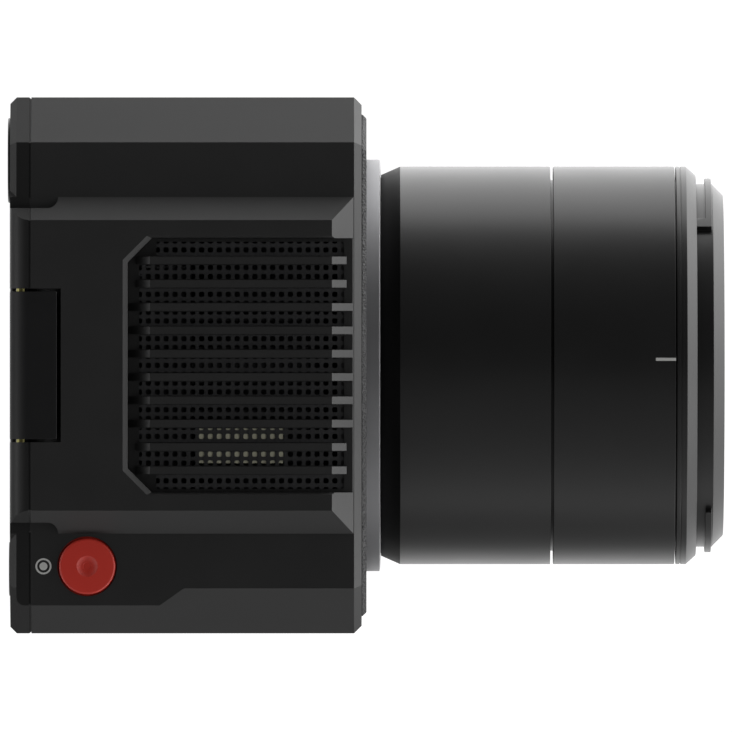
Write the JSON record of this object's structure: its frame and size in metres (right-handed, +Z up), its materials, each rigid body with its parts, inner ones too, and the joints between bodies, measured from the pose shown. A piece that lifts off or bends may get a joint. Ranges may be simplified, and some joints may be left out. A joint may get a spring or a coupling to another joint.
{
  "type": "fan-cooled box camera with lens",
  "caption": "Black box camera with a finned cooling outlet on top, a red button, a tilting rear screen and a smooth lens in a twist-lock mount.",
  "frame": {"origin": "middle of the bounding box in X and Y, at the lowest face", "axes": "+X forward along the lens, +Y to the camera's left, +Z up"},
  "size_m": [0.1432, 0.1068, 0.098],
  "materials": {
    "body_coating": "fine matte powder coat on a cast light-alloy case",
    "grained_plastic": "moulded, fine leather-like grain",
    "black_plastic": "moulded, satin",
    "sheet_metal": "perforated sheet, black anodised",
    "black_screw": "black oxide",
    "satin_metal": "turned, satin dark anodised",
    "mount_steel": "turned stainless steel",
    "hinge_steel": "zinc-plated, yellow passivated",
    "hinge_coating": "fine matte powder coat",
    "bare_aluminium": "milled, bare",
    "dark_anodised": "black anodised",
    "lens_anodised": "turned and fine-blasted, hard black anodised",
    "white_ceramic": "fired alumina",
    "circuit_board": "green solder mask",
    "clear_glass": "polished",
    "coated_glass": "polished, multi-coated",
    "sensor_silicon": "silicon behind cover glass",
    "screen_glass": "polished cover glass",
    "display_panel": "display, off",
    "red_plastic": "moulded, satin red",
    "dial_metal": "turned, black anodised",
    "plated_socket": "nickel plated"
  },
  "bodies": {
    "camera": {"main_shell": "body_coating", "rear_cover": "body_coating", "rear_cover_screws": "black_screw", "front_bezel": "body_coating", "bezel_screws": "black_screw", "front_cover": "grained_plastic", "base_plate": "body_coating", "base_screws": "black_screw", "louvre_grille": "body_coating", "perforated_sheet": "sheet_metal", "mount_boss": "satin_metal", "mount_ring": "mount_steel", "mount_screws": "mount_steel", "mount_contacts": "black_plastic", "sensor_chamber": "black_plastic", "sensor_window": "clear_glass", "image_sensor": "sensor_silicon", "sensor_board": "circuit_board", "cold_plate": "bare_aluminium", "thermoelectric_cooler": "white_ceramic", "heat_sink": "dark_anodised", "thermistor_block": "bare_aluminium", "fan_frame": "black_plastic", "fan_screws": "black_screw", "main_board": "circuit_board", "rec_switch": "black_plastic", "rear_switch": "black_plastic", "dial_encoder": "black_plastic", "screen_hinge_pin": "hinge_steel", "card_door_pin": "hinge_steel", "card_slot": "black_plastic", "port_panel": "black_plastic", "dc_socket": "plated_socket", "usb_socket": "plated_socket", "audio_sockets": "plated_socket"},
    "screen": {"screen_frame": "black_plastic", "screen_glass": "screen_glass", "screen_panel": "display_panel", "screen_hinge_flap": "hinge_coating"},
    "rec_button": {"rec_button": "red_plastic"},
    "rear_button": {"rear_button": "black_plastic"},
    "control_dial": {"control_dial": "dial_metal"},
    "dial_cap": {"dial_cap": "black_plastic"},
    "lens_release": {"release_button": "black_plastic", "lock_pin": "hinge_steel"},
    "fan_rotor": {"fan_rotor": "black_plastic"},
    "card_door": {"card_door": "body_coating"},
    "lens": {"lens_flange": "mount_steel", "lens_contacts": "black_plastic", "rear_barrel": "lens_anodised", "lens_nose": "lens_anodised", "front_ring": "lens_anodised", "lens_core": "dark_anodised", "rear_glass": "coated_glass", "iris_housing": "dark_anodised", "front_cell": "dark_anodised", "front_glass": "coated_glass"},
    "focus_ring": {"focus_ring": "lens_anodised"},
    "focus_group": {"focus_cell": "dark_anodised", "focus_glass": "coated_glass"}
  },
  "joints": [
    {"name": "screen_tilt", "type": "hinge", "parent": "camera", "child": "screen", "pos_m": [-0.0686, 0, 0.0946], "axis": [0, 1, 0], "range_deg": [0, 90]},
    {"name": "rec_press", "type": "slide", "parent": "camera", "child": "rec_button", "axis": [0, 0, -1], "range_m": [0, 0.0012], "stiffness_N_per_m": 800, "springref_m": -0.0006},
    {"name": "rear_button_press", "type": "slide", "parent": "camera", "child": "rear_button", "axis": [1, 0, 0], "range_m": [0, 0.0004], "stiffness_N_per_m": 1500, "springref_m": -0.0004},
    {"name": "dial_turn", "type": "hinge", "parent": "camera", "child": "control_dial", "pos_m": [-0.0669, 0.041, 0.064], "axis": [1, 0, 0], "continuous": true},
    {"name": "dial_cap_press", "type": "slide", "parent": "camera", "child": "dial_cap", "axis": [1, 0, 0], "range_m": [0, 0.0004], "stiffness_N_per_m": 1500, "springref_m": -0.0004},
    {"name": "release_press", "type": "slide", "parent": "camera", "child": "lens_release", "axis": [-1, 0, 0], "range_m": [0, 0.0019], "stiffness_N_per_m": 900, "springref_m": -0.001},
    {"name": "fan_spin", "type": "hinge", "parent": "camera", "child": "fan_rotor", "pos_m": [-0.0397, 0, 0.0675], "axis": [1, 0, 0], "continuous": true},
    {"name": "card_door_swing", "type": "hinge", "parent": "camera", "child": "card_door", "pos_m": [-0.05147, -0.05243, 0.042], "axis": [0, 0, -1], "range_deg": [0, 100]},
    {"name": "lens_twist", "type": "hinge", "parent": "camera", "child": "lens", "pos_m": [0.0029, 0, 0.046], "axis": [1, 0, 0], "range_deg": [0, 60]},
    {"name": "focus_turn", "type": "hinge", "parent": "lens", "child": "focus_ring", "pos_m": [0.04965, 0, 0.046], "axis": [1, 0, 0], "range_deg": [-60, 60]},
    {"name": "focus_slide", "type": "slide", "parent": "lens", "child": "focus_group", "axis": [1, 0, 0], "range_m": [-0.003, 0.003]}
  ],
  "couplings": [
    {"joint": "focus_slide", "follows": "focus_turn", "m_per_rad": 0.0028619}
  ]
}
